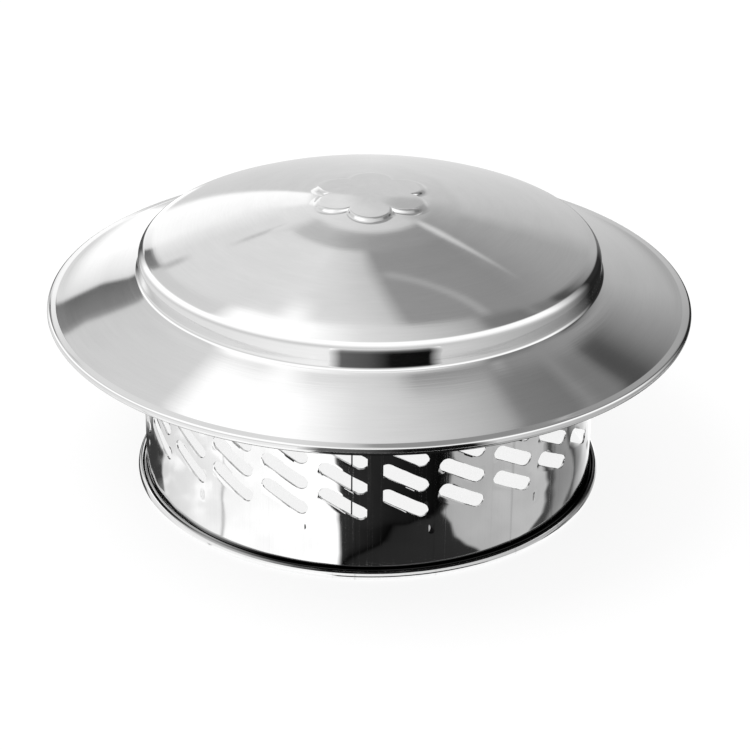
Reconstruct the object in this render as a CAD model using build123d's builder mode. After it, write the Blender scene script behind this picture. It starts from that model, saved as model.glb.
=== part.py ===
# A chimney cap in stainless steel sheet: a pressed hat with a domed crown and a wide sloping brim,
# spot welded on a slotted band that slips over a 160 mm flue pipe.
# Millimetres, Z up. The origin is on the axis, in the plane that the band's bead rests on.
# The front, -Y, is where the band is lapped.
import os
from math import acos, atan2, ceil, cos, degrees, radians, sin, sqrt, tan

from build123d import *

# The pipe, and the sheet that both pieces are made of
pipe_d = 160.0
pipe_gap = 0.3
sheet = 0.5
weld_gap = 0.1

# Small rounds are drawn in chords this close to the arc, which keeps the long thin rings light
chord_error = 0.06

# Slotted band
bead_radius = 1.8
bead_turn = 305.0
plug_depth = 4.0

# Slots of the band: slanted, falling to the right as seen from outside
slot_length = 18.2
slot_width = 4.95
slot_slant = 29.0
slot_columns = 25
slot_rows = 4
slot_first_z = 28.6
slot_row_pitch = 9.6
slot_first_angle = -5.7
slot_end_flats = 5

# Lap of the band at the front: the outer layer ends on the right, the inner one on the left
lap_outer_angle = 3.65
lap_inner_angle = -3.9
lap_joggle_angle = 1.8
lap_margin = 5.4
lap_bar = 0.5
lap_notch = 1.2

# Dimples that take up the play of the pipe
dimple_count = 12
dimple_first_angle = 15.5
dimple_z = 18.2
dimple_width = 2.8
dimple_height = 5.6
dimple_depth = 0.35

# Hat, taken at the upper face of its sheet
hat_top_z = 105.9
dome_radius = 184.8
shoulder_radius = 5.0
step_draft = 2.0
crease_radius = 1.8
brim_root_z = 79.6
brim_slope = 21.3
rim_r = 113.7
edge_width = 3.2
edge_slope = 8.0
hem_radius = 1.4
hem_turn = 250.0

# Plain six-lobed boss pressed up in the crown
boss_r = 22.0
boss_lobes = 6
boss_lobe_r = 8.0
boss_height = 0.9
boss_side_taper = 35.0

# Sizes that follow
band_bore_r = pipe_d / 2 + pipe_gap
band_r = band_bore_r + sheet
band_top_z = brim_root_z + plug_depth
slot_pitch_angle = 360 / slot_columns


def at_angle(radius, angle):
    """The point at this radius and at this angle from the front, positive to the right."""
    return (radius * sin(radians(angle)), -radius * cos(radians(angle)))


def turned(centre, radius, start_angle, turn):
    """A round stretch of a section line, in chords that stay within the chord error of the arc."""
    steps = ceil(abs(turn) / degrees(2 * acos(1 - chord_error / radius)))
    angles = [start_angle + turn * step / steps for step in range(steps + 1)]
    return Polyline(*[Vector(*centre) + Vector(radius, 0).rotate(Axis.Z, angle) for angle in angles])


# Slots: one slanted punch, held against the front of the band at z = 0. Each of its round ends is
# made of a few flats, which keeps the many slots light.
end_angles = [-90 + 180 * step / slot_end_flats for step in range(slot_end_flats + 1)]
end_points = [
    Vector(slot_length / 2 - slot_width / 2) + Vector(slot_width / 2, 0).rotate(Axis.Z, angle)
    for angle in end_angles
]

with BuildPart() as slot_punch:
    with BuildSketch(Plane.XZ.offset(band_bore_r - 2 * sheet)):
        with Locations(Rotation(0, 0, -slot_slant)):
            Polygon(*end_points, *[-point for point in end_points], align=None)
    extrude(amount=5 * sheet)

slot_heights = [slot_first_z + slot_row_pitch * row for row in range(slot_rows)]

# The front column stops short of the outer layer's edge, which keeps a plain margin
with BuildPart() as front_punches:
    with Locations([Location((0, 0, z), (0, 0, slot_first_angle)) for z in slot_heights]):
        add(slot_punch.part)
    margin_x = at_angle(band_r, lap_outer_angle)[0] - lap_margin
    split(bisect_by=Plane.YZ.offset(margin_x), keep=Keep.BOTTOM)

# The inner layer is punched too, but its edge stays whole, a thin upright bar behind the slots
with BuildPart() as lapped_punches:
    add(front_punches.part)
    with Locations((at_angle(band_bore_r, lap_inner_angle)[0], -band_bore_r, 0)):
        Box(
            lap_bar,
            8 * sheet,
            band_top_z,
            align=(Align.MIN, Align.CENTER, Align.MIN),
            mode=Mode.SUBTRACT,
        )

# The next column stays whole under the outer layer, where the two layers are welded
with BuildPart() as covered_punches:
    with Locations([Location((0, 0, z), (0, 0, slot_first_angle + slot_pitch_angle)) for z in slot_heights]):
        add(slot_punch.part)
    split(bisect_by=Plane.YZ.offset(at_angle(band_r, lap_outer_angle)[0]), keep=Keep.TOP)

# Lap: the band's outer layer, joggled out by one sheet over the inner one
lap_foot_z = 2 * bead_radius + lap_notch
lap_top_z = brim_root_z - sheet - lap_notch
joggle_angle = lap_inner_angle - lap_joggle_angle

with BuildPart() as lap_layer:
    with BuildSketch(Plane.XY.offset(lap_foot_z)):
        with BuildLine():
            foot = ThreePointArc(
                at_angle(band_r, joggle_angle), at_angle(band_r, 0), at_angle(band_r, lap_outer_angle)
            )
            face = ThreePointArc(
                at_angle(band_r + sheet, lap_inner_angle),
                at_angle(band_r + sheet, 0),
                at_angle(band_r + sheet, lap_outer_angle),
            )
            Line(foot @ 0, face @ 0)
            Line(foot @ 1, face @ 1)
        make_face()
    extrude(amount=lap_top_z - lap_foot_z)
    add(front_punches.part, mode=Mode.SUBTRACT)

# Dimples: an upright capsule pressed into the wall from outside
capsule_radius = (dimple_width**2 / 4 + dimple_depth**2) / (2 * dimple_depth)


def dimple_capsule(wall_r):
    """The capsule that stands a dimple's depth inside a wall of this radius, at the front."""
    axis_r = wall_r + capsule_radius - dimple_depth
    straight = dimple_height - dimple_width
    with BuildPart() as capsule:
        with Locations((0, -axis_r, dimple_z)):
            Cylinder(capsule_radius, straight)
        with Locations((0, -axis_r, dimple_z + straight / 2), (0, -axis_r, dimple_z - straight / 2)):
            Sphere(capsule_radius)
    return capsule.part


with BuildPart() as dimple_boss:
    add(dimple_capsule(band_bore_r))
    with Locations((0, 0, dimple_z)):
        Cylinder(band_bore_r + sheet / 2, 2 * dimple_height, mode=Mode.INTERSECT)

dimple_places = dict(radius=0, count=dimple_count, start_angle=dimple_first_angle)


def band_skin(depth):
    """The band's section line, this deep behind its inner face. Returns its two ends."""
    wall = Line((band_bore_r + depth, band_top_z), (band_bore_r + depth, bead_radius))
    bead = turned((band_bore_r + bead_radius, bead_radius), bead_radius - depth, 180, bead_turn)
    return wall @ 0, bead @ 1


# Slotted band: a strip rolled to a ring, with its foot curled outwards to a bead
with BuildPart() as slotted_band:
    with BuildSketch(Plane.XZ):
        with BuildLine():
            inner, outer = band_skin(0), band_skin(sheet)
            Line(inner[0], outer[0])
            Line(inner[1], outer[1])
        make_face()
    revolve(axis=Axis.Z)
    with PolarLocations(**dimple_places):
        add(dimple_boss.part)
    with PolarLocations(**dimple_places):
        add(dimple_capsule(band_r), mode=Mode.SUBTRACT)
    for z in slot_heights:
        with Locations((0, 0, z)):
            with PolarLocations(
                radius=0,
                count=slot_columns - 2,
                start_angle=slot_first_angle + 2 * slot_pitch_angle,
                angular_range=360 - 2 * slot_pitch_angle,
            ):
                add(slot_punch.part, mode=Mode.SUBTRACT)
    add(lapped_punches.part, mode=Mode.SUBTRACT)
    add(covered_punches.part, mode=Mode.SUBTRACT)
    add(lap_layer.part)

slotted_band.part.label = "slotted_band"

# Hat: where its upper face changes direction, from the crown outwards
dome_centre_z = hat_top_z - dome_radius
draft, slope, edge = radians(step_draft), radians(brim_slope), radians(edge_slope)
shoulder_r = band_r + weld_gap + sheet - shoulder_radius * cos(draft)
shoulder_z = dome_centre_z + sqrt((dome_radius - shoulder_radius) ** 2 - shoulder_r**2)
dome_edge_angle = degrees(atan2(shoulder_z - dome_centre_z, shoulder_r))
step_top = (shoulder_r + shoulder_radius * cos(draft), shoulder_z + shoulder_radius * sin(draft))
brim_root = (step_top[0] + (step_top[1] - brim_root_z) * tan(draft), brim_root_z)
edge_bend_r = rim_r - edge_width
edge_bend = (edge_bend_r, brim_root_z - (edge_bend_r - brim_root[0]) * tan(slope))
hem_r = rim_r - hem_radius
hem_top_r = hem_r + hem_radius * sin(edge)
hem_top_z = edge_bend[1] - (hem_top_r - edge_bend_r) * tan(edge)
hem_z = hem_top_z - hem_radius * cos(edge)


def looking(angle):
    """The direction in the section that a face looks in, at this angle above the horizontal."""
    return Vector(cos(radians(angle)), sin(radians(angle)))


def corner_under(corner, before, after, depth):
    """The corner this deep under one of the upper face, whose two sides look before and after."""
    return Vector(*corner) - (before + after) * (depth / (1 + before.dot(after)))


def hat_skin(depth):
    """The hat's section line, this deep under its upper face. Returns its two ends."""
    step, brim, rim = looking(step_draft), looking(90 - brim_slope), looking(90 - edge_slope)
    crown = CenterArc((0, dome_centre_z), dome_radius - depth, 90, dome_edge_angle - 90)
    shoulder = turned(
        (shoulder_r, shoulder_z),
        shoulder_radius - depth,
        dome_edge_angle,
        step_draft - dome_edge_angle,
    )
    hem = turned((hem_r, hem_z), hem_radius - depth, 90 - edge_slope, -hem_turn)
    crease = turned(
        corner_under(brim_root, step, brim, -crease_radius),
        crease_radius + depth,
        180 + step_draft,
        90 - brim_slope - step_draft,
    )
    bend = corner_under(edge_bend, brim, rim, depth)
    Line(shoulder @ 1, crease @ 0)
    Polyline(crease @ 1, bend, hem @ 0)
    return crown @ 0, hem @ 1


def boss_outline(inset):
    """The boss's outline, drawn in by an inset all round."""
    with BuildSketch(Plane.XY) as outline:
        Circle(boss_r - boss_lobe_r)
        with PolarLocations(boss_r - boss_lobe_r, boss_lobes, start_angle=90):
            Circle(boss_lobe_r - inset)
    return outline.sketch


def boss_block(inset, low_radius, high_radius):
    """The boss's outline with tapered sides, between two spheres about the dome's centre."""
    foot_z = dome_centre_z + sqrt(dome_radius**2 - boss_r**2)
    with BuildPart() as block:
        with BuildSketch(Plane.XY.offset(foot_z)):
            add(boss_outline(inset))
        extrude(amount=hat_top_z + 2 * boss_height - foot_z, taper=boss_side_taper)
        with Locations((0, 0, dome_centre_z)):
            Sphere(high_radius, mode=Mode.INTERSECT)
            Sphere(low_radius, mode=Mode.SUBTRACT)
    return block.part


with BuildPart() as rain_hat:
    with BuildSketch(Plane.XZ):
        with BuildLine():
            upper, under = hat_skin(0), hat_skin(sheet)
            Line(upper[0], under[0])
            Line(upper[1], under[1])
        make_face()
    revolve(axis=Axis.Z)
    add(boss_block(0, dome_radius - sheet / 2, dome_radius + boss_height))
    add(boss_block(sheet, dome_radius - 2 * sheet, dome_radius + boss_height - sheet), mode=Mode.SUBTRACT)

rain_hat.part.label = "rain_hat"

os.makedirs("parts", exist_ok=True)
export_step(slotted_band.part, "parts/slotted_band.step")
export_step(rain_hat.part, "parts/rain_hat.step")
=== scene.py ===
from math import acos, atan2, cos, degrees, pi, radians, sin, sqrt, tan

import bpy
import numpy as np
from mathutils import Matrix


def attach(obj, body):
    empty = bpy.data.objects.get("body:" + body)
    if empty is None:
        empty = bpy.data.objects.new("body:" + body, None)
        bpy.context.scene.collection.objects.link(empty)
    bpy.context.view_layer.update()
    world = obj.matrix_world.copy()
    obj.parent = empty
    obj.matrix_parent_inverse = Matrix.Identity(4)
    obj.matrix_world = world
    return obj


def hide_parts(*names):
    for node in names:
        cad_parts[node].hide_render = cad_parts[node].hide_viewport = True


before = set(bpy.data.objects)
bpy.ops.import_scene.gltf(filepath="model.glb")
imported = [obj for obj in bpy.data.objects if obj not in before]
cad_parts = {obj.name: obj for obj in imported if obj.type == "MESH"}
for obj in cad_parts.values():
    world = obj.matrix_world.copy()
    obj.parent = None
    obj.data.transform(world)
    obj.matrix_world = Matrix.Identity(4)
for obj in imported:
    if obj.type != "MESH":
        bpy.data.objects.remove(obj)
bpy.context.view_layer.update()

# Rain hat: one disc of 0.5 mm stainless sheet, spun and pressed to a shallow dome with a step and a
# sloping brim, whose rim is rolled under to a hem. A plain six-lobed boss is pressed up in its crown.
# It is satin finished, brushed round the axis.
SHEET = 0.5
MM = 0.001
AROUND = 360
WELDS_PER_MM = 1e4
SHARP_ANGLE = 35.0

HAT_TOP_Z = 105.9
DOME_R = 184.8
SHOULDER_R = 5.0
STEP_DRAFT = 2.0
STEP_WALL_R = 81.4
CREASE_R = 1.8
BRIM_ROOT_Z = 79.6
BRIM_SLOPE = 21.3
RIM_R = 113.67
EDGE_WIDTH = 3.2
EDGE_SLOPE = 8.0
BEND_R = 1.2
BEND_AT_R = RIM_R - EDGE_WIDTH
HEM_R = 1.4
HEM_TURN = 250.0
BOSS_R = 22.0
BOSS_LOBE_R = 8.0
BOSS_HEIGHT = 0.9
BOSS_SIDE = 2.2
BOSS_FIELD_R = 32.0
BOSS_RINGS = (12, 7, 7)
BOSS_TOP_SHARES = (0.06, 0.94)
HAT_ARC_STEPS = (16, 14, 10, 4, 22)
HAT_FLAT_STEPS = (3, 14, 3)


def numbered(rows, cols, first=0):
    """Point numbers of a grid, row after row, from the first number on."""
    return first + np.arange(rows * cols).reshape(rows, cols)


def quads(numbers, closed=False):
    """Four-sided faces between the neighbouring rows and columns of a grid of point numbers. A closed
    grid's last column joins its first."""
    if closed:
        numbers = np.hstack([numbers, numbers[:, :1]])
    corners = (numbers[:-1, :-1], numbers[:-1, 1:], numbers[1:, 1:], numbers[1:, :-1])
    return np.stack(corners, -1).reshape(-1, 4)


def welded(front, back, faces):
    """The same sheet with points that coincide made one, to a ten-thousandth of a millimetre."""
    keys = np.round(front * WELDS_PER_MM).astype(np.int64)
    _, kept, place = np.unique(keys, axis=0, return_index=True, return_inverse=True)
    return front[kept], back[kept], place.reshape(-1)[faces]


def sheet_mesh(name, front, back, faces):
    """A piece of sheet as one closed shell: its front and its back face have the same points, each pair
    one thickness apart, and a strip along every free edge joins them. A face whose last two corners are
    one point is a triangle."""
    count = len(front)
    middle = front[faces]
    facing = np.cross(middle[:, 2] - middle[:, 0], middle[:, 3] - middle[:, 1])
    out = (front - back)[faces].mean(1)
    wrong = (facing * out).sum(1) < 0
    faces[wrong] = faces[wrong][:, [1, 0, 3, 2]]
    swapped = wrong & (faces[:, 0] == faces[:, 1])
    faces[swapped] = np.roll(faces[swapped], -2, axis=1)
    swapped = faces[:, 2] == faces[:, 3]

    starts, ends = faces.reshape(-1), np.roll(faces, -1, axis=1).reshape(-1)
    real = starts != ends
    starts, ends = starts[real], ends[real]
    free = ~np.isin(starts * count + ends, ends * count + starts)
    a, b = starts[free], ends[free]
    rim = np.stack([b, a, a + count, b + count], -1)

    whole = faces[~swapped]
    corners = faces[swapped][:, :3]
    polygons = np.vstack([whole, whole[:, ::-1] + count, rim]).tolist()
    polygons += np.vstack([corners, corners[:, ::-1] + count]).tolist()
    mesh = bpy.data.meshes.new(name)
    mesh.from_pydata((np.vstack([front, back]) * MM).tolist(), [], polygons)
    mesh.polygons.foreach_set("use_smooth", [True] * len(mesh.polygons))
    mesh.set_sharp_from_angle(angle=radians(SHARP_ANGLE))
    piece = bpy.data.objects.new(name, mesh)
    bpy.context.scene.collection.objects.link(piece)
    return piece


def arc(centre, radius, start, end, steps, hollow=False):
    """Stations of a round stretch of a section line, in degrees: columns r, z and the direction that
    the upper face looks in, which is towards the centre on a hollow stretch."""
    angle = np.radians(np.linspace(start, end, steps + 1))
    looks = np.stack([np.cos(angle), np.sin(angle)], -1)
    return np.hstack([np.array(centre) + radius * looks, -looks if hollow else looks])


def straight(start, end, steps):
    """Stations between two others on a straight stretch: all four columns run evenly."""
    share = np.linspace(0, 1, steps + 1)[1:-1, None]
    return start * (1 - share) + end * share


def toward(angle):
    """The direction at this angle above the r axis, as its cosine and its sine."""
    return np.array([cos(radians(angle)), sin(radians(angle))])


def corner(point, before, after, depth):
    """The corner of two sides moved in by the same depth, where the sides look before and after."""
    return np.array(point) - (before + after) * depth / (1 + before @ after)


def hat_section():
    """The hat's upper face as a line of stations from the edge of the boss's field to the hem's end:
    crown arc, shoulder, drafted step, crease, brim, flatter edge and rolled hem."""
    step, brim, rim = toward(STEP_DRAFT), toward(90 - BRIM_SLOPE), toward(90 - EDGE_SLOPE)
    dome_z = HAT_TOP_Z - DOME_R
    shoulder_r = STEP_WALL_R - SHOULDER_R * step[0]
    shoulder_z = dome_z + sqrt((DOME_R - SHOULDER_R) ** 2 - shoulder_r**2)
    meet = degrees(atan2(shoulder_z - dome_z, shoulder_r))
    step_top = np.array([shoulder_r, shoulder_z]) + SHOULDER_R * step
    root = (step_top[0] + (step_top[1] - BRIM_ROOT_Z) * tan(radians(STEP_DRAFT)), BRIM_ROOT_Z)
    bend = (BEND_AT_R, BRIM_ROOT_Z - (BEND_AT_R - root[0]) * tan(radians(BRIM_SLOPE)))
    hem_centre_r = RIM_R - HEM_R
    hem_top_r = hem_centre_r + HEM_R * rim[0]
    hem_top_z = bend[1] - (hem_top_r - BEND_AT_R) * tan(radians(EDGE_SLOPE))
    crown_steps, shoulder_steps, crease_steps, bend_steps, hem_steps = HAT_ARC_STEPS
    hem_centre = (hem_centre_r, hem_top_z - HEM_R * rim[1])
    parts = [
        arc((0, dome_z), DOME_R, degrees(acos(BOSS_FIELD_R / DOME_R)), meet, crown_steps),
        arc((shoulder_r, shoulder_z), SHOULDER_R, meet, STEP_DRAFT, shoulder_steps)[1:],
        arc(corner(root, step, brim, -CREASE_R), CREASE_R, 180 + STEP_DRAFT, 270 - BRIM_SLOPE, crease_steps, True),
        arc(corner(bend, brim, rim, -BEND_R), BEND_R, 270 - BRIM_SLOPE, 270 - EDGE_SLOPE, bend_steps, True),
        arc(hem_centre, HEM_R, 90 - EDGE_SLOPE, 90 - EDGE_SLOPE - HEM_TURN, hem_steps),
    ]
    wall_steps, brim_steps, edge_steps = HAT_FLAT_STEPS
    line = [parts[0], parts[1], straight(parts[1][-1], parts[2][0], wall_steps), parts[2]]
    line += [straight(parts[2][-1], parts[3][0], brim_steps), parts[3]]
    line += [straight(parts[3][-1], parts[4][0], edge_steps), parts[4]]
    return np.vstack(line)


def lobed(angle):
    """The boss's outline: how far it lies from the axis at each angle, the outermost point there of six
    circles whose centres stand evenly about the axis."""
    turn = (angle + pi / 6) % (pi / 3) - pi / 6
    away = BOSS_R - BOSS_LOBE_R
    return away * np.cos(turn) + np.sqrt(BOSS_LOBE_R**2 - (away * np.sin(turn)) ** 2)


def eased(share):
    """From 0 to 1 with level ends."""
    share = np.clip(share, 0, 1)
    return share * share * (3 - 2 * share)


def boss_field():
    """The middle of the crown, rings by angle: the rings follow the boss's outline and turn to circles
    towards the field's edge. The height is the dome's sphere plus the boss, whose side is eased."""
    angle = np.arange(AROUND) * 2 * pi / AROUND
    outline = lobed(angle)
    top, side, field = BOSS_RINGS
    share = np.concatenate([np.linspace(*BOSS_TOP_SHARES, top), np.ones(side), np.linspace(1, 0, field + 2)[1:-1]])
    offset = np.concatenate([np.zeros(top), np.linspace(-1, 0, side), np.zeros(field)])[:, None] * BOSS_SIDE
    inside = np.arange(len(share))[:, None] < top + side
    ring = np.where(inside, share[:, None] * (outline - BOSS_SIDE * (share[:, None] < 1)) + offset,
                    BOSS_FIELD_R + (outline - BOSS_FIELD_R) * share[:, None])
    lift = BOSS_HEIGHT * (1 - eased((ring - outline + BOSS_SIDE) / BOSS_SIDE))
    height = np.sqrt(DOME_R**2 - ring**2) - DOME_R + HAT_TOP_Z
    x, y = ring * np.sin(angle), -ring * np.cos(angle)
    looks = np.stack([x, y, height - HAT_TOP_Z + DOME_R], -1) / DOME_R
    upper = np.stack([x, y, height], -1) + looks * lift[..., None]
    return upper, upper - looks * SHEET


def revolved(section, depth):
    """A section line carried round the axis at one depth behind its face: stations by angle."""
    angle = np.arange(AROUND) * 2 * pi / AROUND
    r = (section[:, 0] - section[:, 2] * depth)[:, None]
    z = (section[:, 1] - section[:, 3] * depth)[:, None]
    return np.stack([r * np.sin(angle), -r * np.cos(angle), z + 0 * angle], -1)


section = hat_section()
field_upper, field_under = boss_field()
upper = np.vstack([field_upper, revolved(section, 0)])
under = np.vstack([field_under, revolved(section, SHEET)])
rings = len(upper)
tip = np.array([[0, 0, HAT_TOP_Z + BOSS_HEIGHT]])
numbers = numbered(rings, AROUND)
first_ring = numbers[0]
pole = np.full(AROUND, rings * AROUND)
cap = np.stack([first_ring, np.roll(first_ring, -1), pole, pole], -1)
rain_hat = sheet_mesh(
    "rain_hat_sheet",
    np.vstack([upper.reshape(-1, 3), tip]),
    np.vstack([under.reshape(-1, 3), tip - [0, 0, SHEET]]),
    np.vstack([quads(numbers, closed=True), cap]),
)
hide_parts("rain_hat")
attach(rain_hat, "root")

# Slotted band: a strip of the same sheet, punched with 25 columns of slanted slots and rolled to a ring.
# Its foot is curled outwards to a bead, twelve low dimples above it grip the flue pipe, and the lap at the
# front rides up by one sheet. It is mirror polished. Its plain top stands inside the hat's step.
BAND_BORE_R = 80.3
BAND_R = BAND_BORE_R + SHEET
BAND_TOP_Z = 83.6
BEAD_R = 1.8
BEAD_TURN = 305.0
BEAD_STEPS = 22
FOOT_ROWS = 5
PUNCH_ROLL = 0.12

SLOT_LENGTH = 18.2
SLOT_WIDTH = 4.95
SLOT_SLANT = 29.0
SLOT_COLUMNS = 25
SLOT_ROWS = 4
SLOT_FIRST_Z = 28.6
SLOT_ROW_PITCH = 9.6
SLOT_FIRST_ANGLE = -5.7
SLOT_ZONE_Z = (22.0, 64.0)
ROW_WAVE = 3.6
END_SPLIT = 60
END_STEPS = 3
CELL_SHARES = (0, 0.07, 0.4, 1)

LAP_OUTER_ANGLE = 3.65
LAP_INNER_ANGLE = -3.9
LAP_FOOT_Z = 4.8
LAP_TOP_Z = 77.9
LAP_MARGIN_ANGLE = -0.18
LAP_BAR = 0.5

DIMPLES = 12
DIMPLE_FIRST_ANGLE = 15.5
DIMPLE_Z = 18.2
DIMPLE_WIDTH = 2.8
DIMPLE_HEIGHT = 5.6
DIMPLE_DEPTH = 0.35
DIMPLE_BELT_Z = (14.4, 22.0)
DENT_STEPS = 9
DENT_SHARES = (0.02, 0.2, 0.4, 0.6, 0.8, 1)
DENT_RIM_SHARES = (0.3, 0.65, 1)

COLUMN_ANGLE = 360 / SLOT_COLUMNS
COLUMN_STEPS = 20
SIDE_STEPS = 10
PER_DEGREE = radians(1) * BAND_R
HALF_COLUMN = COLUMN_ANGLE / 2 * PER_DEGREE
STEP_ANGLE = COLUMN_ANGLE / COLUMN_STEPS
START_ANGLE = SLOT_FIRST_ANGLE - COLUMN_ANGLE / 2


def on_wall(angle, z, inward=0.0, stand=0.0):
    """Both faces of the wall at arrays of angles, in degrees from the front, and heights: the outer face,
    moved in or lifted off, and the bore's face, moved in."""
    angle, z = np.broadcast_arrays(np.radians(angle), z)
    sides = []
    for r in (BAND_R - inward + stand, BAND_BORE_R - inward):
        sides.append(np.stack([r * np.sin(angle), -r * np.cos(angle), z + 0 * r], -1))
    return sides


def loop(bottom, right, top, left):
    """A closed loop of points from its four sides, run anticlockwise: each side gives its points without
    its last one."""
    return np.vstack([side[:-1] for side in (bottom, right, top, left)])


def slot_loop():
    """A slot's outline on the flat sheet, x to the right and z up: two straight sides and two round
    ends, turned by the slant. It starts at the lower side's left end, as a column's outline does."""
    r, half = SLOT_WIDTH / 2, SLOT_LENGTH / 2 - SLOT_WIDTH / 2

    def turn(start, end, steps, side):
        """A round stretch of the end on this side, from one angle to another."""
        angle = np.radians(np.linspace(start, end, steps + 1))
        return np.stack([side * half + r * np.cos(angle), r * np.sin(angle)], -1)

    run = np.linspace(-half, half, COLUMN_STEPS + 1 - 2 * END_STEPS)[1:-1]
    low = np.stack([run, np.full_like(run, -r)], -1)
    bottom = np.vstack([turn(180 + END_SPLIT, 270, END_STEPS, -1), low, turn(270, 360 - END_SPLIT, END_STEPS, 1)])
    right = turn(-END_SPLIT, END_SPLIT, SIDE_STEPS, 1)
    outline = loop(bottom, right, -bottom, -right)
    c, s = cos(radians(SLOT_SLANT)), sin(radians(SLOT_SLANT))
    return outline @ np.array([[c, -s], [s, c]])


def row_line(x, row):
    """The height of the line between a row of slots and the one under it, at x along the column. It
    waves with the slots' slant, and is level at the ends of the slotted zone."""
    level = SLOT_FIRST_Z + SLOT_ROW_PITCH * (row - 0.5) - ROW_WAVE * np.sin(pi * x / HALF_COLUMN)
    return np.where(row <= 0, SLOT_ZONE_Z[0], np.where(row >= SLOT_ROWS, SLOT_ZONE_Z[1], level))


def cell_loop(row):
    """The outline of a slot's share of the sheet, on the flat sheet."""
    x = np.linspace(-HALF_COLUMN, HALF_COLUMN, COLUMN_STEPS + 1)
    low, high = row_line(x, row), row_line(x, row + 1)
    side = np.linspace(low[-1], high[-1], SIDE_STEPS + 1)
    bottom, top = np.stack([x, low], -1), np.stack([x, high], -1)[::-1]
    right = np.stack([np.full_like(side, HALF_COLUMN), side], -1)
    return loop(bottom, right, top, right[::-1] * [-1, 1])


def between(inner, outer, shares):
    """Loops between two loops with the same number of points, at shares of the way."""
    shares = np.asarray(shares)[:, None, None]
    return inner * (1 - shares) + outer * shares


def cell(row, left=-HALF_COLUMN, right=HALF_COLUMN):
    """A slot's share of the sheet in four loops: the slot's edge, which the punch rolled in a little, a
    loop close to it, one further out and the outline. The slot is cut off at the left and right x."""
    hole = slot_loop() + [0, SLOT_FIRST_Z + SLOT_ROW_PITCH * row]
    hole[:, 0] = np.clip(hole[:, 0], left, right)
    return between(hole, cell_loop(row), CELL_SHARES)


# How far each of a cell's loops is rolled in by the punch
ROLL = np.array([PUNCH_ROLL, 0, 0, 0])[:, None]


class Sheet:
    """Patches of one sheet: the points of both its faces and its quads, put together one by one."""

    def __init__(self):
        self.front, self.back, self.faces, self.count = [], [], [], 0

    def patch(self, sides, closed=False, keep=None):
        """Adds a grid of points, given for both faces, with all its quads or the kept ones."""
        front, back = sides
        faces = quads(numbered(*front.shape[:2], self.count), closed)
        self.faces.append(faces if keep is None else faces[keep])
        self.front.append(front.reshape(-1, 3))
        self.back.append(back.reshape(-1, 3))
        self.count += front.shape[0] * front.shape[1]

    def piece(self, name):
        return sheet_mesh(name, *welded(np.vstack(self.front), np.vstack(self.back), np.vstack(self.faces)))


band = Sheet()
ring = START_ANGLE + STEP_ANGLE * np.arange(SLOT_COLUMNS * COLUMN_STEPS)

# Bead and foot of the wall: the section line, carried round
bead = arc((BAND_BORE_R + BEAD_R, BEAD_R), BEAD_R, 180 + BEAD_TURN, 180, BEAD_STEPS)
foot = np.array([[BAND_BORE_R, z, -1.0, 0.0] for z in np.linspace(BEAD_R, DIMPLE_BELT_Z[0], FOOT_ROWS)[1:]])
profile = np.vstack([bead, foot])


def round_band(line, depth):
    """The band's section line carried round the axis at one depth behind the bore's face."""
    turn = np.radians(ring)
    r = (line[:, 0] - line[:, 2] * depth)[:, None]
    z = (line[:, 1] - line[:, 3] * depth)[:, None]
    return np.stack([r * np.sin(turn), -r * np.cos(turn), z + 0 * turn], -1)


band.patch((round_band(profile, SHEET), round_band(profile, 0)), closed=True)

# Belt of the dimples: plain sheet, with a capsule-shaped dent let in at each dimple's place
belt_z = np.linspace(*DIMPLE_BELT_Z, SIDE_STEPS + 1)
places = DIMPLE_FIRST_ANGLE + 360 / DIMPLES * np.arange(DIMPLES)
first_steps = np.round((places - START_ANGLE) / STEP_ANGLE - DENT_STEPS / 2).astype(int)
plain = np.ones((SIDE_STEPS, len(ring)), bool)
plain[:, (first_steps[:, None] + np.arange(DENT_STEPS)) % len(ring)] = False
band.patch(on_wall(ring[None], belt_z[:, None]), closed=True, keep=plain.reshape(-1))

for place, first in zip(places, first_steps):
    edge = START_ANGLE + STEP_ANGLE * (first + np.arange(DENT_STEPS + 1))
    low = np.stack([(edge - place) * PER_DEGREE, np.full_like(edge, belt_z[0])], -1)
    side = np.stack([np.full_like(belt_z, low[-1, 0]), belt_z], -1)
    high = low[::-1] * [1, 0] + [0, belt_z[-1]]
    frame_loop = loop(low, side, high, side[::-1] * [0, 1] + [low[0, 0], 0])
    heading = np.arctan2(frame_loop[:, 1] - DIMPLE_Z, frame_loop[:, 0])
    straight_half = (DIMPLE_HEIGHT - DIMPLE_WIDTH) / 2
    dent = DIMPLE_WIDTH / 2 * np.stack([np.cos(heading), np.sin(heading)], -1)
    dent += straight_half * np.stack([0 * heading, np.clip(3 * np.sin(heading), -1, 1)], -1)
    middle = np.array([0, DIMPLE_Z])
    inner_loops = between(middle + 0 * dent, middle + dent, DENT_SHARES)
    loops = np.vstack([inner_loops, between(middle + dent, frame_loop, DENT_RIM_SHARES)])
    share = np.concatenate([DENT_SHARES, np.ones(len(DENT_RIM_SHARES))])[:, None]
    depth = DIMPLE_DEPTH * (0.5 + 0.5 * np.cos(pi * share))
    band.patch(on_wall(loops[..., 0] / PER_DEGREE + place, loops[..., 1], depth), closed=True)
    pin = on_wall(np.full((1, 2), place), np.full((1, 2), DIMPLE_Z), DIMPLE_DEPTH)
    start = band.count - loops.shape[0] * loops.shape[1]
    hub = start + np.arange(loops.shape[1])
    band.patch(pin)
    lowest = np.full_like(hub, band.count - 1)
    band.faces.append(np.stack([hub, np.roll(hub, -1), lowest, lowest], -1))

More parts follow.
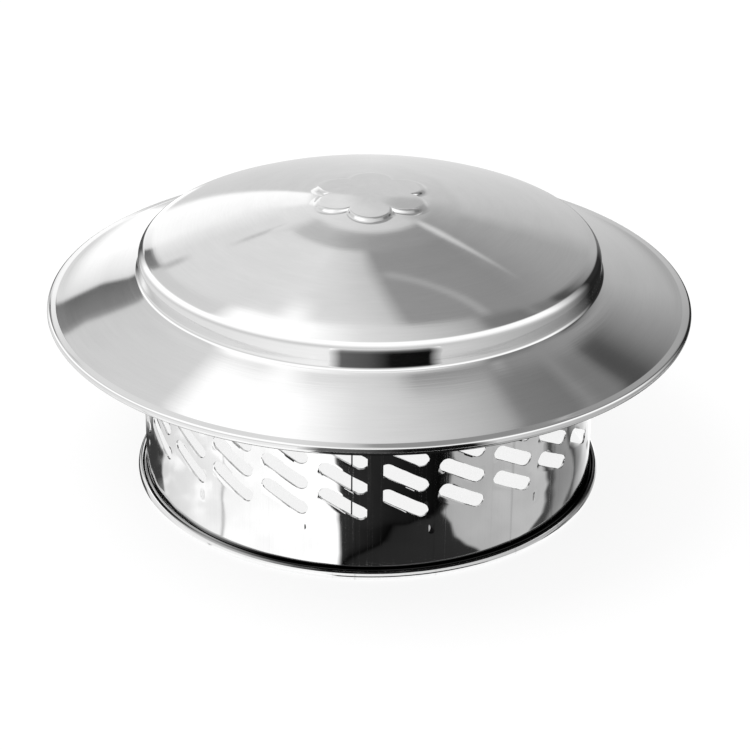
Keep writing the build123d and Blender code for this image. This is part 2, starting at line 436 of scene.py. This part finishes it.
# Slotted zone: one cell for each slot, and the plain top that stands in the hat's step
limits = {
    0: dict(right=(LAP_MARGIN_ANGLE - SLOT_FIRST_ANGLE) * PER_DEGREE),
    1: dict(left=(LAP_OUTER_ANGLE - SLOT_FIRST_ANGLE - COLUMN_ANGLE) * PER_DEGREE),
}
for column in range(SLOT_COLUMNS):
    for row in range(SLOT_ROWS):
        loops = cell(row, **limits.get(column, {}))
        angle = SLOT_FIRST_ANGLE + COLUMN_ANGLE * column + loops[..., 0] / PER_DEGREE
        band.patch(on_wall(angle, loops[..., 1], ROLL), closed=True)

top_z = np.linspace(SLOT_ZONE_Z[1], BAND_TOP_Z, 4)
band.patch(on_wall(ring[None], top_z[:, None]), closed=True)
slotted_band = band.piece("slotted_band_sheet")

# The lap's outer layer, over the first column and a margin, riding up over the inner layer's edge
layer = Sheet()
LAYER_INSET = 0.05
LAYER_LIFT = 0.004


def on_layer(angle, z, inward=0.0):
    """Both faces of the outer layer, which rises by one sheet from the first column's start to the edge
    that it covers."""
    rise = SHEET * eased((angle - START_ANGLE) / (LAP_INNER_ANGLE - START_ANGLE)) - inward + LAYER_LIFT
    front = on_wall(angle, z, stand=rise)[0]
    return front, on_wall(angle, z, inward=LAYER_INSET)[0]


for row in range(SLOT_ROWS):
    loops = cell(row, **limits[0])
    layer.patch(on_layer(SLOT_FIRST_ANGLE + loops[..., 0] / PER_DEGREE, loops[..., 1], ROLL), closed=True)

under_angle = START_ANGLE + STEP_ANGLE * np.arange(COLUMN_STEPS + 1)
beside_angle = np.linspace(under_angle[-1], LAP_OUTER_ANGLE, 5)
whole_angle = np.concatenate([under_angle, beside_angle[1:]])
below = np.linspace(LAP_FOOT_Z, SLOT_ZONE_Z[0], 8)
above = np.linspace(SLOT_ZONE_Z[1], LAP_TOP_Z, 6)
for heights in (below, above):
    layer.patch(on_layer(whole_angle[None], heights[:, None]))
x_end = HALF_COLUMN
side_z = np.concatenate([np.linspace(row_line(x_end, row), row_line(x_end, row + 1), SIDE_STEPS + 1)[1:]
                         for row in range(SLOT_ROWS)])
side_z = np.concatenate([[SLOT_ZONE_Z[0]], side_z])
layer.patch(on_layer(beside_angle[None], side_z[:, None]))
lap_layer = layer.piece("lap_outer_layer")

# The inner layer's edge, which crosses the first column's slots as a thin upright bar
bar = Sheet()
bar_angle = LAP_INNER_ANGLE + np.linspace(0, LAP_BAR / PER_DEGREE, 3)
bar_z = np.linspace(*SLOT_ZONE_Z, 9)
bar_scales = (1 - LAYER_INSET / BAND_R, 1 + LAYER_INSET / BAND_BORE_R)
bar_sides = on_wall(bar_angle[None], bar_z[:, None])
bar.patch([side * [scale, scale, 1] for side, scale in zip(bar_sides, bar_scales)])
lap_bar = bar.piece("lap_inner_edge")

for piece in (slotted_band, lap_layer, lap_bar):
    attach(piece, "root")
    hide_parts("slotted_band")

# Finishes: both are bare stainless steel. The hat is brushed round its axis, so its grooves spread each
# reflection outwards from the axis; the band is polished, with a trace of the strip's rolling.
GROOVES_PER_M, WIPES_PER_M = 2600, 260
GROOVE_DEPTH = 0.000004
BRUSH_SPREAD, BRUSH_ACROSS = 0.5, 0.25
WAVE_DEPTH = 0.0005
HAT_GREY, HAT_ROUGHNESS = 0.685, 0.035
BAND_GREY, BAND_ROUGHNESS = 0.80, 0.05
# Grey of the painted shade that darkens the crease over the bead
CREASE_SHADE_GREY = 0.03
NEAR_AXIS = 1e-5


class Value:
    """A node socket that takes part in arithmetic: each operator adds its Math node."""

    def __init__(self, tree, socket):
        self.tree, self.socket = tree, socket

    def math(self, operation, *others):
        """Adds a Math node of this operation, on this value and the others."""
        inputs = {i: other for i, other in enumerate((self,) + others)}
        return node(self.tree, "ShaderNodeMath", {"operation": operation}, inputs)

    def __add__(self, other):
        return self.math("ADD", other)

    def __sub__(self, other):
        return self.math("SUBTRACT", other)

    def __mul__(self, other):
        return self.math("MULTIPLY", other)

    def __truediv__(self, other):
        return self.math("DIVIDE", other)

    def __rsub__(self, other):
        return self * -1 + other

    __radd__, __rmul__ = __add__, __mul__

    def mixed(self, other, share):
        """This value, with a share of the other one in its place."""
        return self + (other - self) * share

    def step(self, low, high, to_low=0.0, to_high=1.0):
        """Eased from one value to another while this goes from low to high."""
        ends = {"Value": self, "From Min": low, "From Max": high, "To Min": to_low, "To Max": to_high}
        return node(self.tree, "ShaderNodeMapRange", {"interpolation_type": "SMOOTHSTEP"}, ends)


def node(tree, kind, settings=None, inputs=None, output=0):
    """Adds a node of this type: its settings first, then the values or links of its sockets. Gives its
    output as a value."""
    made = tree.nodes.new(kind)
    for name, setting in (settings or {}).items():
        setattr(made, name, setting)
    for key, given in (inputs or {}).items():
        if isinstance(given, Value):
            tree.links.new(given.socket, made.inputs[key])
        else:
            made.inputs[key].default_value = given
    return Value(tree, made.outputs[output]) if made.outputs else None


def bare_steel(name, paint, **fixed):
    """A bare metal shader. The paint function gives the sockets that vary over the surface; the rest is
    set on the shader itself."""
    material = bpy.data.materials.new(name)
    material.use_nodes = True
    tree = material.node_tree
    tree.nodes.clear()
    point = node(tree, "ShaderNodeTexCoord", None, None, "Object")
    x, y, z = (node(tree, "ShaderNodeSeparateXYZ", None, {0: point}, axis) for axis in range(3))
    inputs = {"Metallic": 1.0, **paint(tree, x, y, z), **fixed}
    shader = node(tree, "ShaderNodeBsdfPrincipled", None, inputs)
    node(tree, "ShaderNodeOutputMaterial", None, {"Surface": shader})
    return material


def vector(tree, x, y, z):
    """Three values as one place."""
    return node(tree, "ShaderNodeCombineXYZ", None, {"X": x, "Y": y, "Z": z})


def noise(tree, place, detail):
    """Soft noise about 0.5, with one blot to each unit of the place."""
    return node(tree, "ShaderNodeTexNoise", None, {"Vector": place, "Scale": 1.0, "Detail": detail})


def grey(tree, level):
    """A value as a grey colour."""
    return node(tree, "ShaderNodeCombineColor", None, {"Red": level, "Green": level, "Blue": level})


def bump(tree, height, distance):
    """The surface's direction with a height, of this distance for each 1, laid on it."""
    return node(tree, "ShaderNodeBump", None, {"Strength": 1.0, "Distance": distance, "Height": height})


def brushed_round(tree, x, y, z):
    """Grooves round the axis: noise that is fine across them, along the section, and slow along them."""
    r = (x * x + y * y).math("SQRT")
    along_x, along_y = x / (r + NEAR_AXIS), y / (r + NEAR_AXIS)
    across = r + z
    grooves = noise(tree, vector(tree, across * GROOVES_PER_M, along_x * 5, along_y * 5), 4.0)
    wipes = noise(tree, vector(tree, across * WIPES_PER_M, along_x * 3, along_y * 3), 3.0)
    return {
        "Base Color": grey(tree, HAT_GREY + wipes * 0.08 + grooves * 0.05),
        "Roughness": HAT_ROUGHNESS + grooves * 0.03 + wipes * 0.03,
        "Normal": bump(tree, grooves, GROOVE_DEPTH),
    }


# Where the crease's painted shade ends: up the wall, down the bead, inwards and outwards; and its share at the left
CREASE_SHADE_Z, CREASE_SHADE_FOOT_Z = (0.0040, 0.0044), (0.0026, 0.0032)
CREASE_SHADE_R, CREASE_SHADE_END_R = (0.0805, 0.0807), (0.0824, 0.0832)
CREASE_SHADE_SIDE_X, CREASE_SHADE_SIDE_SHARE = (-0.060, -0.030), 0.3


def polished(tree, x, y, z):
    """Mirror finish: the sheet's slow waves bend its reflections and faint upright rolling lines dull it
    a little. Painted shade darkens the crease above the bead nearly to black, less at the left."""
    turn = x.math("ARCTAN2", y * -1)
    waves = noise(tree, vector(tree, turn * 6, z * 45, 0.3), 1.0)
    lines = noise(tree, vector(tree, turn * 140, z * 6, 1.7), 3.0)
    creases = noise(tree, vector(tree, turn * 30, z * 3, 4.2), 2.0).step(0.60, 0.72)
    streaks = noise(tree, vector(tree, turn * 260, z * 5, 8.6), 1.0).step(0.66, 0.74)
    r = (x * x + y * y).math("SQRT")
    # Painted shade: the crease between the wall and the bead is darkened nearly to black, less at the left
    crease_shade = z.step(*CREASE_SHADE_Z, 1.0, 0.0) * z.step(*CREASE_SHADE_FOOT_Z)
    crease_shade = crease_shade * r.step(*CREASE_SHADE_R) * r.step(*CREASE_SHADE_END_R, 1.0, 0.0)
    crease_shade = crease_shade * x.step(*CREASE_SHADE_SIDE_X, CREASE_SHADE_SIDE_SHARE, 1.0)
    return {
        "Base Color": grey(tree, (BAND_GREY + lines * 0.05 - creases * 0.14) * (1 - crease_shade * (1 - CREASE_SHADE_GREY))),
        "Roughness": BAND_ROUGHNESS + lines * 0.05 + creases * 0.06 + streaks * 0.16,
        "Normal": bump(tree, waves + lines * 0.01 + creases * 0.006, WAVE_DEPTH),
    }


brush = {"Anisotropic": BRUSH_SPREAD, "Anisotropic Rotation": BRUSH_ACROSS}
brushed_steel = bare_steel("brushed_steel", brushed_round, **brush)
polished_steel = bare_steel("polished_steel", polished)
rain_hat.data.materials.append(brushed_steel)
for piece in (slotted_band, lap_layer, lap_bar):
    piece.data.materials.append(polished_steel)


# Camera: the photograph's viewing angle, as a point on the front's upright plane that looks at the origin
# and is then turned by three small angles.
CAMERA_AWAY = 0.8742
CAMERA_RISE = 29.614
CAMERA_TURNS = (-2.032, 0.152, -0.573)
LENS_PER_SENSOR = 2372.8 / 750
SENSOR_WIDTH = 36.0
NEAREST = 0.05

rise = radians(CAMERA_RISE)
place = CAMERA_AWAY * np.array([0, -cos(rise), sin(rise)])
axes = np.array([[1, 0, 0], [0, sin(rise), cos(rise)], [0, -cos(rise), sin(rise)]])
tilt, pan, roll = map(radians, CAMERA_TURNS)
tilted = np.array([[1, 0, 0], [0, cos(tilt), -sin(tilt)], [0, sin(tilt), cos(tilt)]])
panned = np.array([[cos(pan), 0, sin(pan)], [0, 1, 0], [-sin(pan), 0, cos(pan)]])
rolled = np.array([[cos(roll), -sin(roll), 0], [sin(roll), cos(roll), 0], [0, 0, 1]])
whole = np.eye(4)
whole[:3, :3] = (rolled @ tilted @ panned @ axes).T
whole[:3, 3] = place
camera = bpy.data.objects.new("camera", bpy.data.cameras.new("camera"))
camera.data.sensor_width = SENSOR_WIDTH
camera.data.lens = SENSOR_WIDTH * LENS_PER_SENSOR
camera.data.clip_start = NEAREST
camera.matrix_world = Matrix(whole.tolist())
bpy.context.scene.collection.objects.link(camera)
bpy.context.scene.camera = camera

# Floor: a wide white table top of matt board, which keeps the object's shadow. It shows as plain white to
# the camera; in gloss it is brighter in front of the object and falls off behind it.
FLOOR_HALF = 6.0
TABLE_WHITE = 0.85
TABLE_LEVEL = 1.05
GLOSS_LEVEL = 0.25
TABLE_FALL = (0.05, 0.16)
SEEN_SHARE = 0.8


def shown(tree):
    """1 for the rays that the camera, a gloss or a glass sends, which see the white background, and then
    1 for the gloss's rays alone."""
    rays = [node(tree, "ShaderNodeLightPath", None, None, ray)
            for ray in ("Is Camera Ray", "Is Glossy Ray", "Is Transmission Ray")]
    return rays[0].math("MAXIMUM", rays[1]).math("MAXIMUM", rays[2]), rays[1]


table = bpy.data.materials.new("white_table")
table.use_nodes = True
tree = table.node_tree
tree.nodes.clear()
seen, glossy = shown(tree)
matt = node(tree, "ShaderNodeBsdfDiffuse", None, {"Color": (TABLE_WHITE, TABLE_WHITE, TABLE_WHITE, 1)})
point = node(tree, "ShaderNodeTexCoord", None, None, "Object")
behind = node(tree, "ShaderNodeSeparateXYZ", None, {0: point}, 1).step(*TABLE_FALL)
table_level = TABLE_LEVEL + glossy * (GLOSS_LEVEL - behind)
glow = node(tree, "ShaderNodeEmission", None, {"Color": grey(tree, table_level), "Strength": 1.0})
mixed = node(tree, "ShaderNodeMixShader", None, {0: seen * SEEN_SHARE, 1: matt, 2: glow})
node(tree, "ShaderNodeOutputMaterial", None, {"Surface": mixed})

corners = FLOOR_HALF * np.array([(-1, -1, 0), (1, -1, 0), (1, 1, 0), (-1, 1, 0)])
mesh = bpy.data.meshes.new("table_top")
mesh.from_pydata(corners.tolist(), [], [(0, 1, 2, 3)])
mesh.materials.append(table)
table_top = bpy.data.objects.new("table_top", mesh)
bpy.context.scene.collection.objects.link(table_top)

# Cards: a painted sheet that lies round the object and shows only in its gloss, as a photographer's cards
# do. Its edges are waved, because the band's wall isn't quite round.
CARD_HEIGHTS = (2, 5, 8, 12, 16, 18.5, 21, 25, 30, 40, 60, 90, 97, 103)
# Each edge, where the band mirrors it to the camera: its angles, in degrees from the front, at those
# heights in mm up the wall; the levels before and after it; and half its width
CARD_EDGES = [
    ((-96, -94, -92, -89, -86, -84, -82, -77, -74, -74, -74, -74, -74, -74), 0.6, 0.04, 3.0),
    ((-62, -63.5, -64.5, -65.5, -65, -64.5, -64, -67, -69.5, -71, -72, -72, -72, -72), 0.05, 0.78, 0.6),
    ((-39.2, -39, -38.8, -38.9, -39, -39.1, -39, -38.8, -38.6, -38.5, -38.5, -38.5, -38.5, -38.5),
     1.05, 0.5, 0.4),
    ((-38.5, -38.3, -38.1, -38.2, -38.3, -38.4, -38.3, -38, -37.8, -37.8, -37.8, -37.8, -37.8, -37.8),
     0.5, 1.15, 0.4),
    ((-7, -7, -7, -7.4, -8, -8.4, -9, -9, -9, -9, -9, -7.5, -7.5, -7.5), 1.3, 0.03, 0.7),
    ((-6, -5, -2, 5, 6.5, 7.5, 16.5, 18.6, 18.4, 19.4, 19.4, 1, 3, 5), 0.002, 0.02, 1.0),
    ((30, 28, 25, 22, 21.2, 19.7, 18.4, 20.3, 20, 21, 21, 15, 16, 14), 0.03, 0.5, 0.5),
    ((42, 45, 49.5, 51, 50.5, 52, 51, 50.5, 49.5, 50, 50, 60, 60, 60), 0.6, 0.07, 0.9),
    ((50, 51, 53.5, 54.5, 54, 55, 54.5, 54, 53, 53, 53, 62, 62, 62), 0.07, 0.26, 1.2),
    ((57, 59, 62, 65, 65.5, 65, 64.5, 62.5, 61, 59, 59, 68, 68, 68), 0.34, 0.10, 1.0),
    ((62, 63, 65, 67.5, 68, 68, 67.5, 66, 64, 62, 62, 72, 72, 72), 0.10, 0.36, 1.5),
    ((84, 84, 83, 82, 81, 80, 79, 78, 77, 76, 76, 84, 84, 84), 1.15, 1.25, 0.5),
]
CARD_SPAN = 88.0
CARD_Z = 0.0004
CARD_FINE, CARD_COARSE = (3.6, 50, 94), (51, 110, 30)
CARD_COLUMNS = 600
BLOTS_PER_M = 45.0
BLOT_SHARE = 0.15
WISP_BLOTS = (0.5, 0.7)
WISP_X = (-0.085, -0.06)
WISP_LEVEL = 0.22


def gloss_only(piece):
    """Seen only in gloss: the camera, the table's light and its shadows pass through."""
    piece.visible_camera = piece.visible_diffuse = piece.visible_shadow = piece.visible_transmission = False


def glow_material(name, level):
    """A surface that shines at the level that the function works out from its own point."""
    made = bpy.data.materials.new(name)
    made.use_nodes = True
    tree = made.node_tree
    tree.nodes.clear()
    shader = node(tree, "ShaderNodeEmission", None, {"Color": grey(tree, level(tree)), "Strength": 1.0})
    node(tree, "ShaderNodeOutputMaterial", None, {"Surface": shader})
    return made


def surface(name, points, material, level=None, closed=False):
    """A grid of points, in metres, as an object that shows only in gloss and may carry a level at each of
    its points."""
    mesh = bpy.data.meshes.new(name)
    mesh.from_pydata(points.reshape(-1, 3).tolist(), [], quads(numbered(*points.shape[:2]), closed).tolist())
    if level is not None:
        mesh.attributes.new("level", "FLOAT", "POINT").data.foreach_set("value", level.ravel())
    mesh.materials.append(material)
    made = bpy.data.objects.new(name, mesh)
    bpy.context.scene.collection.objects.link(made)
    gloss_only(made)


def turned(line, steps=180):
    """A section line of radii and heights, in metres, carried round the axis."""
    turn = np.radians(np.arange(steps) * 360 / steps)
    r, z = line[:, :1], line[:, 1:]
    return np.stack([r * np.sin(turn), -r * np.cos(turn), z + 0 * turn], -1)


def painted(tree):
    """The level that is stored with the mesh's points."""
    return node(tree, "ShaderNodeAttribute", {"attribute_name": "level"}, None, "Fac")


def card_level(tree):
    """The painted level, with soft blots, and with light wisps in the dark left part."""
    point = node(tree, "ShaderNodeTexCoord", None, None, "Object")
    x = node(tree, "ShaderNodeSeparateXYZ", None, {0: point})
    blots = node(tree, "ShaderNodeTexNoise", None, {"Vector": point, "Scale": BLOTS_PER_M, "Detail": 2.0}, "Fac")
    wisps = blots.step(*WISP_BLOTS) * x.step(*WISP_X, WISP_LEVEL, 0.0)
    return painted(tree) * (1 - BLOT_SHARE + blots * (2 * BLOT_SHARE)) + wisps


heights = np.concatenate([np.linspace(*CARD_FINE), np.linspace(*CARD_COARSE)])
across = np.linspace(-CARD_SPAN, CARD_SPAN, CARD_COLUMNS)
level = np.empty((len(heights), len(across)))
for row, height in enumerate(heights):
    ends = [(np.interp(height, CARD_HEIGHTS, edge), before, after, soft)
            for edge, before, after, soft in CARD_EDGES]
    stops = [at + side * soft for at, _, _, soft in ends for side in (-1, 1)]
    level[row] = np.interp(across, stops, [value for _, *both, _ in ends for value in both])
# The camera's ray leaves the wall at its own steepness, so the card's point lies out from the wall's foot,
# in the direction of twice the angle
reach = (heights * MM / tan(rise))[:, None]
angle = np.radians(across)
cards = np.stack([BAND_R * MM * np.sin(angle) + reach * np.sin(2 * angle),
                  -BAND_R * MM * np.cos(angle) - reach * np.cos(2 * angle), CARD_Z + 0 * reach * angle], -1)
surface("table_cards", cards, glow_material("card_paint", card_level), level)

# Canopy: a dark ring under the brim, seen only in gloss, that stands in for the shade under the brim and
# is paler at the left. The bead mirrors it as a dark line, a painted reflection of that shade.
CANOPY = np.array([(0.0815, 0.0775), (0.106, 0.0680), (0.1095, 0.0640), (0.1100, 0.0340)])
CANOPY_BEARINGS = (-180, -92, -74, -45, -28, -16, 180)
CANOPY_LEVELS = (0.01, 0.01, 0.5, 0.5, 0.15, 0.01, 0.01)

canopy = turned(CANOPY)
bearings = np.degrees(np.arctan2(canopy[..., 0], -canopy[..., 1]))
level = np.interp(bearings, CANOPY_BEARINGS, CANOPY_LEVELS)
surface("canopy", canopy, glow_material("painted_brim_shade", painted), level, closed=True)

# Step card: a black card that stands bent round in front of the rim, paler at its left, at its ends and
# along its top. Only the hat's step mirrors it.
STEP_CARD_R = 0.125
STEP_CARD_BEARINGS = (-12.4, -8.6, 0, 7, 19, 23)
STEP_CARD_LEVELS = (1.0, 0.15, 0.10, 0.006, 0.004, 0.72)
STEP_CARD_Z = (0.0622, 0.082, 0.096, 0.110)
STEP_CARD_TOP = (0.0, 0.0, 0.1, 0.6)
STEP_CARD_GRID = (40, 120)

bearings = np.linspace(STEP_CARD_BEARINGS[0], STEP_CARD_BEARINGS[-1], STEP_CARD_GRID[1])
card_z = np.linspace(STEP_CARD_Z[0], STEP_CARD_Z[-1], STEP_CARD_GRID[0])[:, None]
turn = np.radians(bearings) + 0 * card_z
step_card = np.stack([STEP_CARD_R * np.sin(turn), -STEP_CARD_R * np.cos(turn), card_z + 0 * turn], -1)
level = np.interp(bearings, STEP_CARD_BEARINGS, STEP_CARD_LEVELS) + np.interp(card_z, STEP_CARD_Z, STEP_CARD_TOP)
surface("step_card", step_card, glow_material("step_card_paint", painted), level)

# Light tent: a round tent of soft panels and dark gaps over the object, seen only in its gloss. A panel's
# bearing is the side of the hat that mirrors it to the camera, in degrees from the front, and its level
# is how bright it is.
TOP_PANELS = [(-180, 0.78), (-104, 0.76), (-98, 0.95), (-60, 0.95), (0, 0.84), (42, 0.76), (54, 0.56), (86, 0.58),
              (96, 0.76), (180, 0.78)]
TOP_LEVEL = 0.76
# The crown's ring shows in the gentle slopes round the boss, the window's further out, the brim's beyond
# the crease, and the step's in the step wall; the shoulder mirrors what hangs over
CROWN_PANELS = [
    (-180, 0.83), (-105, 0.78), (-102.5, 1.28), (-86, 1.2), (-80, 1.0), (-60, 0.92), (-50, 0.66), (-30, 0.62),
    (-15, 0.5), (0, 0.42), (20, 0.38), (42, 0.36), (60, 0.44), (80, 0.56), (95, 0.68), (130, 0.76), (180, 0.83),
]
WINDOW_PANELS = [
    (-180, 0.85), (-104.5, 0.77), (-102, 1.3), (-88, 1.2), (-80, 1.04), (-70, 0.92), (-35, 0.92), (-22, 0.95),
    (-12, 0.84), (-4, 0.72), (2.5, 0.37), (20, 0.35), (42, 0.33), (56, 0.40), (72, 0.47), (81, 0.62), (95, 0.71),
    (120, 0.78), (180, 0.86),
]
# How far a ring's borders lean, in degrees of bearing for each degree of slope past this slope
WINDOW_LEAN = [(-180, 0), (-115, 0), (-102, 0.5), (-78, 0.9), (-66, 0), (-25, 0), (2, 1.1), (30, 0), (180, 0)]
WINDOW_LEAN_SLOPE = 12
BRIM_LEAN = [(-180, 0), (-125, 0), (-108, 1.6), (-95, 1.2), (-88, 0.4), (-80, 1.0), (-58, 1.0), (-50, 0), (180, 0)]
BRIM_LEAN_SLOPE = 31
BRIM_PANELS = [
    (-180, 0.78), (-103.5, 0.75), (-101, 1.36), (-86, 1.3), (-78, 1.08), (-74.6, 0.95), (-73.2, 0.17),
    (-70, 0.22), (-65, 0.29), (-63.2, 0.78), (-38, 0.84), (-33, 1.38), (-14, 1.38), (-2, 0.95), (10, 0.78),
    (20, 0.62), (25, 0.5), (28.5, 0.26), (38.5, 0.22), (40.5, 0.31), (43, 0.24), (47, 0.24), (49.5, 0.09),
    (53, 0.10), (60, 0.28), (74, 0.54), (86, 0.63), (105, 0.76), (180, 0.8),
]
OVERHEAD_PANELS = [(-180, 0.4), (-114, 0.3), (-104, 0.1), (-74, 0.1), (-63, 1.4), (40, 1.35), (49, 0.6), (57, 0.03),
                   (72, 0.03), (80, 0.2), (108, 0.2), (120, 0.4), (180, 0.4)]
STEP_PANELS = [(-180, 0.1), (-100, 0.1), (-76, 0.1), (-66, 0.9), (-30, 1.0), (-9, 1.15), (14, 0.8), (34, 0.5),
               (44, 0.36), (52, 0.12), (57, 0.02), (72, 0.02), (80, 0.45), (180, 0.5)]
HAT_CREASE = [(-180, 17.4), (-150, 19.5), (-120, 27.2), (-105, 30.6), (-90, 30.1), (-60, 25.7), (-30, 23.2),
              (0, 22.5), (30, 23.4), (45, 25.2), (60, 26.6), (75, 28.4), (90, 30.1), (105, 30.6), (120, 27.2),
              (150, 19.5), (180, 17.4)]
# Slopes, in degrees, between which one ring gives way to the next
TOP_MIDDLE = (0.5, 3.5)
TOP_END = (6.2, 7.4)
WINDOW_START = (9.7, 10.7)
BRIM_START = (-0.9, 0.5)
OVERHEAD = (6.0, 12.0)
SHOULDER_END = (19.0, 33.0)
SHOULDER_SHARE = 0.52
STEP_START = (50.0, 64.0)
TENT_R = 0.28
TENT_MIDDLE_Z = 0.09
TENT_STRETCH = (1.67, 1.33)
TENT_LIFT = (-18.7, 90, 40)
TENT_SIDES = 120
# Gaps and ribs in the window: bearing, half width, the slopes where they start or end, and the level
WINDOW_STRIPS = [(-61, 2.4, (14.0, 18.0, 1.0, 0.0), -0.26), (-63.5, 2.6, (21.5, 24.0), -0.28),
                 (-19, 7, (18.5, 22.5), 0.34)]
WINDOW_CORNER = -61
CORNER_ROUND = (0.0, 9.0, 2.2, 0.0)
CORNER_START = (-1.0, 0.0)
# An arched rib: the slope of its middle, its reach in bearing and in slope, its half width, where it shows
ARCH_SLOPE = 24
ARCH_REACH = (30, 10)
ARCH_WIDTH = 0.09
ARCH_BEARINGS, ARCH_SLOPES = (2.0, 9.0), (24.0, 26.0, 1.0, 0.0)
ARCH_LEVEL = 0.13
# A straight rib that narrows and fades outwards
RIB_BEARING = 48.5
RIB_NARROWING = (8.0, 21.0, 0.18, 0.7)
RIB_FADE = (10.0, 22.0, 0.45, 0.0)


def ring(tree, bearing, stops):
    """A value that goes evenly from one bearing's stop to the next."""
    ramp = node(tree, "ShaderNodeValToRGB", None, {"Fac": (bearing + 180) * (1 / 360)})
    elements = ramp.socket.node.color_ramp.elements
    highest = max(value for _, value in stops)
    while len(elements) < len(stops):
        elements.new(1.0)
    for element, (at, value) in zip(elements, stops):
        element.position = (at + 180) / 360
        element.color = (value / highest, value / highest, value / highest, 1)
    return ramp * highest


def strip(across, half_width):
    """1 in the middle of a strip, eased to 0 at its half width."""
    return across.math("ABSOLUTE").step(0.0, half_width, 1.0, 0.0)


def tent_level(tree):
    """The tent's level at its own point: the slope that mirrors the point to the camera from the tent's
    middle lies half way between both directions; its bearing and steepness pick the panels."""
    point = node(tree, "ShaderNodeTexCoord", None, None, "Object")
    x, y, z = (node(tree, "ShaderNodeSeparateXYZ", None, {0: point}, axis) for axis in range(3))
    height = z * (1 / TENT_R) - TENT_MIDDLE_Z / TENT_R + sin(rise)
    right = x / (height * TENT_R * TENT_STRETCH[0])
    front = (y * (-1 / TENT_R) + cos(rise)) / (height * TENT_STRETCH[1])
    bearing = right.math("ARCTAN2", front) * (180 / pi)
    slope = (right * right + front * front).math("SQRT").math("ARCTANGENT") * (180 / pi)

    leaned = bearing - ring(tree, bearing, WINDOW_LEAN) * (slope - WINDOW_LEAN_SLOPE)
    window = ring(tree, leaned, WINDOW_PANELS)
    for middle, half_width, slopes, change in WINDOW_STRIPS:
        window = window + strip(bearing - middle, half_width) * slope.step(*slopes) * change
    along, up = bearing * (1 / ARCH_REACH[0]), (ARCH_SLOPE - slope) * (1 / ARCH_REACH[1])
    arch = strip((along * along + up * up).math("SQRT") - 1, ARCH_WIDTH)
    window = window + arch * bearing.step(*ARCH_BEARINGS) * slope.step(*ARCH_SLOPES) * ARCH_LEVEL
    past_corner = bearing - WINDOW_CORNER
    rounding = past_corner.step(*CORNER_ROUND) * past_corner.step(*CORNER_START)
    level = ring(tree, bearing, CROWN_PANELS).mixed(window, (slope - rounding).step(*WINDOW_START))
    rib = strip((bearing - RIB_BEARING) * slope.step(*RIB_NARROWING), 1.0)
    level = level + rib * slope.step(*RIB_FADE)
    top = ring(tree, bearing, TOP_PANELS).mixed(TOP_LEVEL, slope.step(*TOP_MIDDLE, 1.0, 0.0))
    level = top.mixed(level, slope.step(*TOP_END))

    beyond = slope - ring(tree, bearing, HAT_CREASE)
    leaned = bearing - ring(tree, bearing, BRIM_LEAN) * (slope - BRIM_LEAN_SLOPE).math("MAXIMUM", 0.0)
    level = level.mixed(ring(tree, leaned, BRIM_PANELS), beyond.step(*BRIM_START))
    overhead = ring(tree, bearing, OVERHEAD_PANELS)
    level = level.mixed(overhead, beyond.step(*OVERHEAD))
    level = level.mixed(overhead * SHOULDER_SHARE, beyond.step(*SHOULDER_END))
    return level.mixed(ring(tree, bearing, STEP_PANELS), slope.step(*STEP_START))


lift = np.radians(np.linspace(*TENT_LIFT))
tent = np.stack([TENT_R * np.cos(lift), TENT_MIDDLE_Z + TENT_R * np.sin(lift)], -1)
surface("light_tent", turned(tent, TENT_SIDES), glow_material("tent_panels", tent_level), closed=True)

# Light: a plain white world, and one soft round lamp over the object's left, which the metal doesn't
# mirror.
LAMP_SIZE = 0.9
LAMP_POWER = 6.0
LAMP_PLACE = (-0.5, -0.1, 1.3)
LAMP_TURN = (4, -21, 0)

world = bpy.data.worlds.new("studio")
bpy.context.scene.world = world
world.use_nodes = True
world.cycles.sampling_method = "NONE"
world.node_tree.nodes.clear()
sky = node(world.node_tree, "ShaderNodeBackground", None, {"Color": (1, 1, 1, 1), "Strength": 1.0})
node(world.node_tree, "ShaderNodeOutputWorld", None, {"Surface": sky})

lamp = bpy.data.objects.new("soft_lamp", bpy.data.lights.new("soft_lamp", "AREA"))
lamp.data.shape = "DISK"
lamp.data.size = LAMP_SIZE
lamp.data.energy = LAMP_POWER
lamp.location = LAMP_PLACE
lamp.rotation_euler = [radians(angle) for angle in LAMP_TURN]
lamp.visible_glossy = False
bpy.context.scene.collection.objects.link(lamp)

bpy.context.scene.view_settings.view_transform = "Standard"
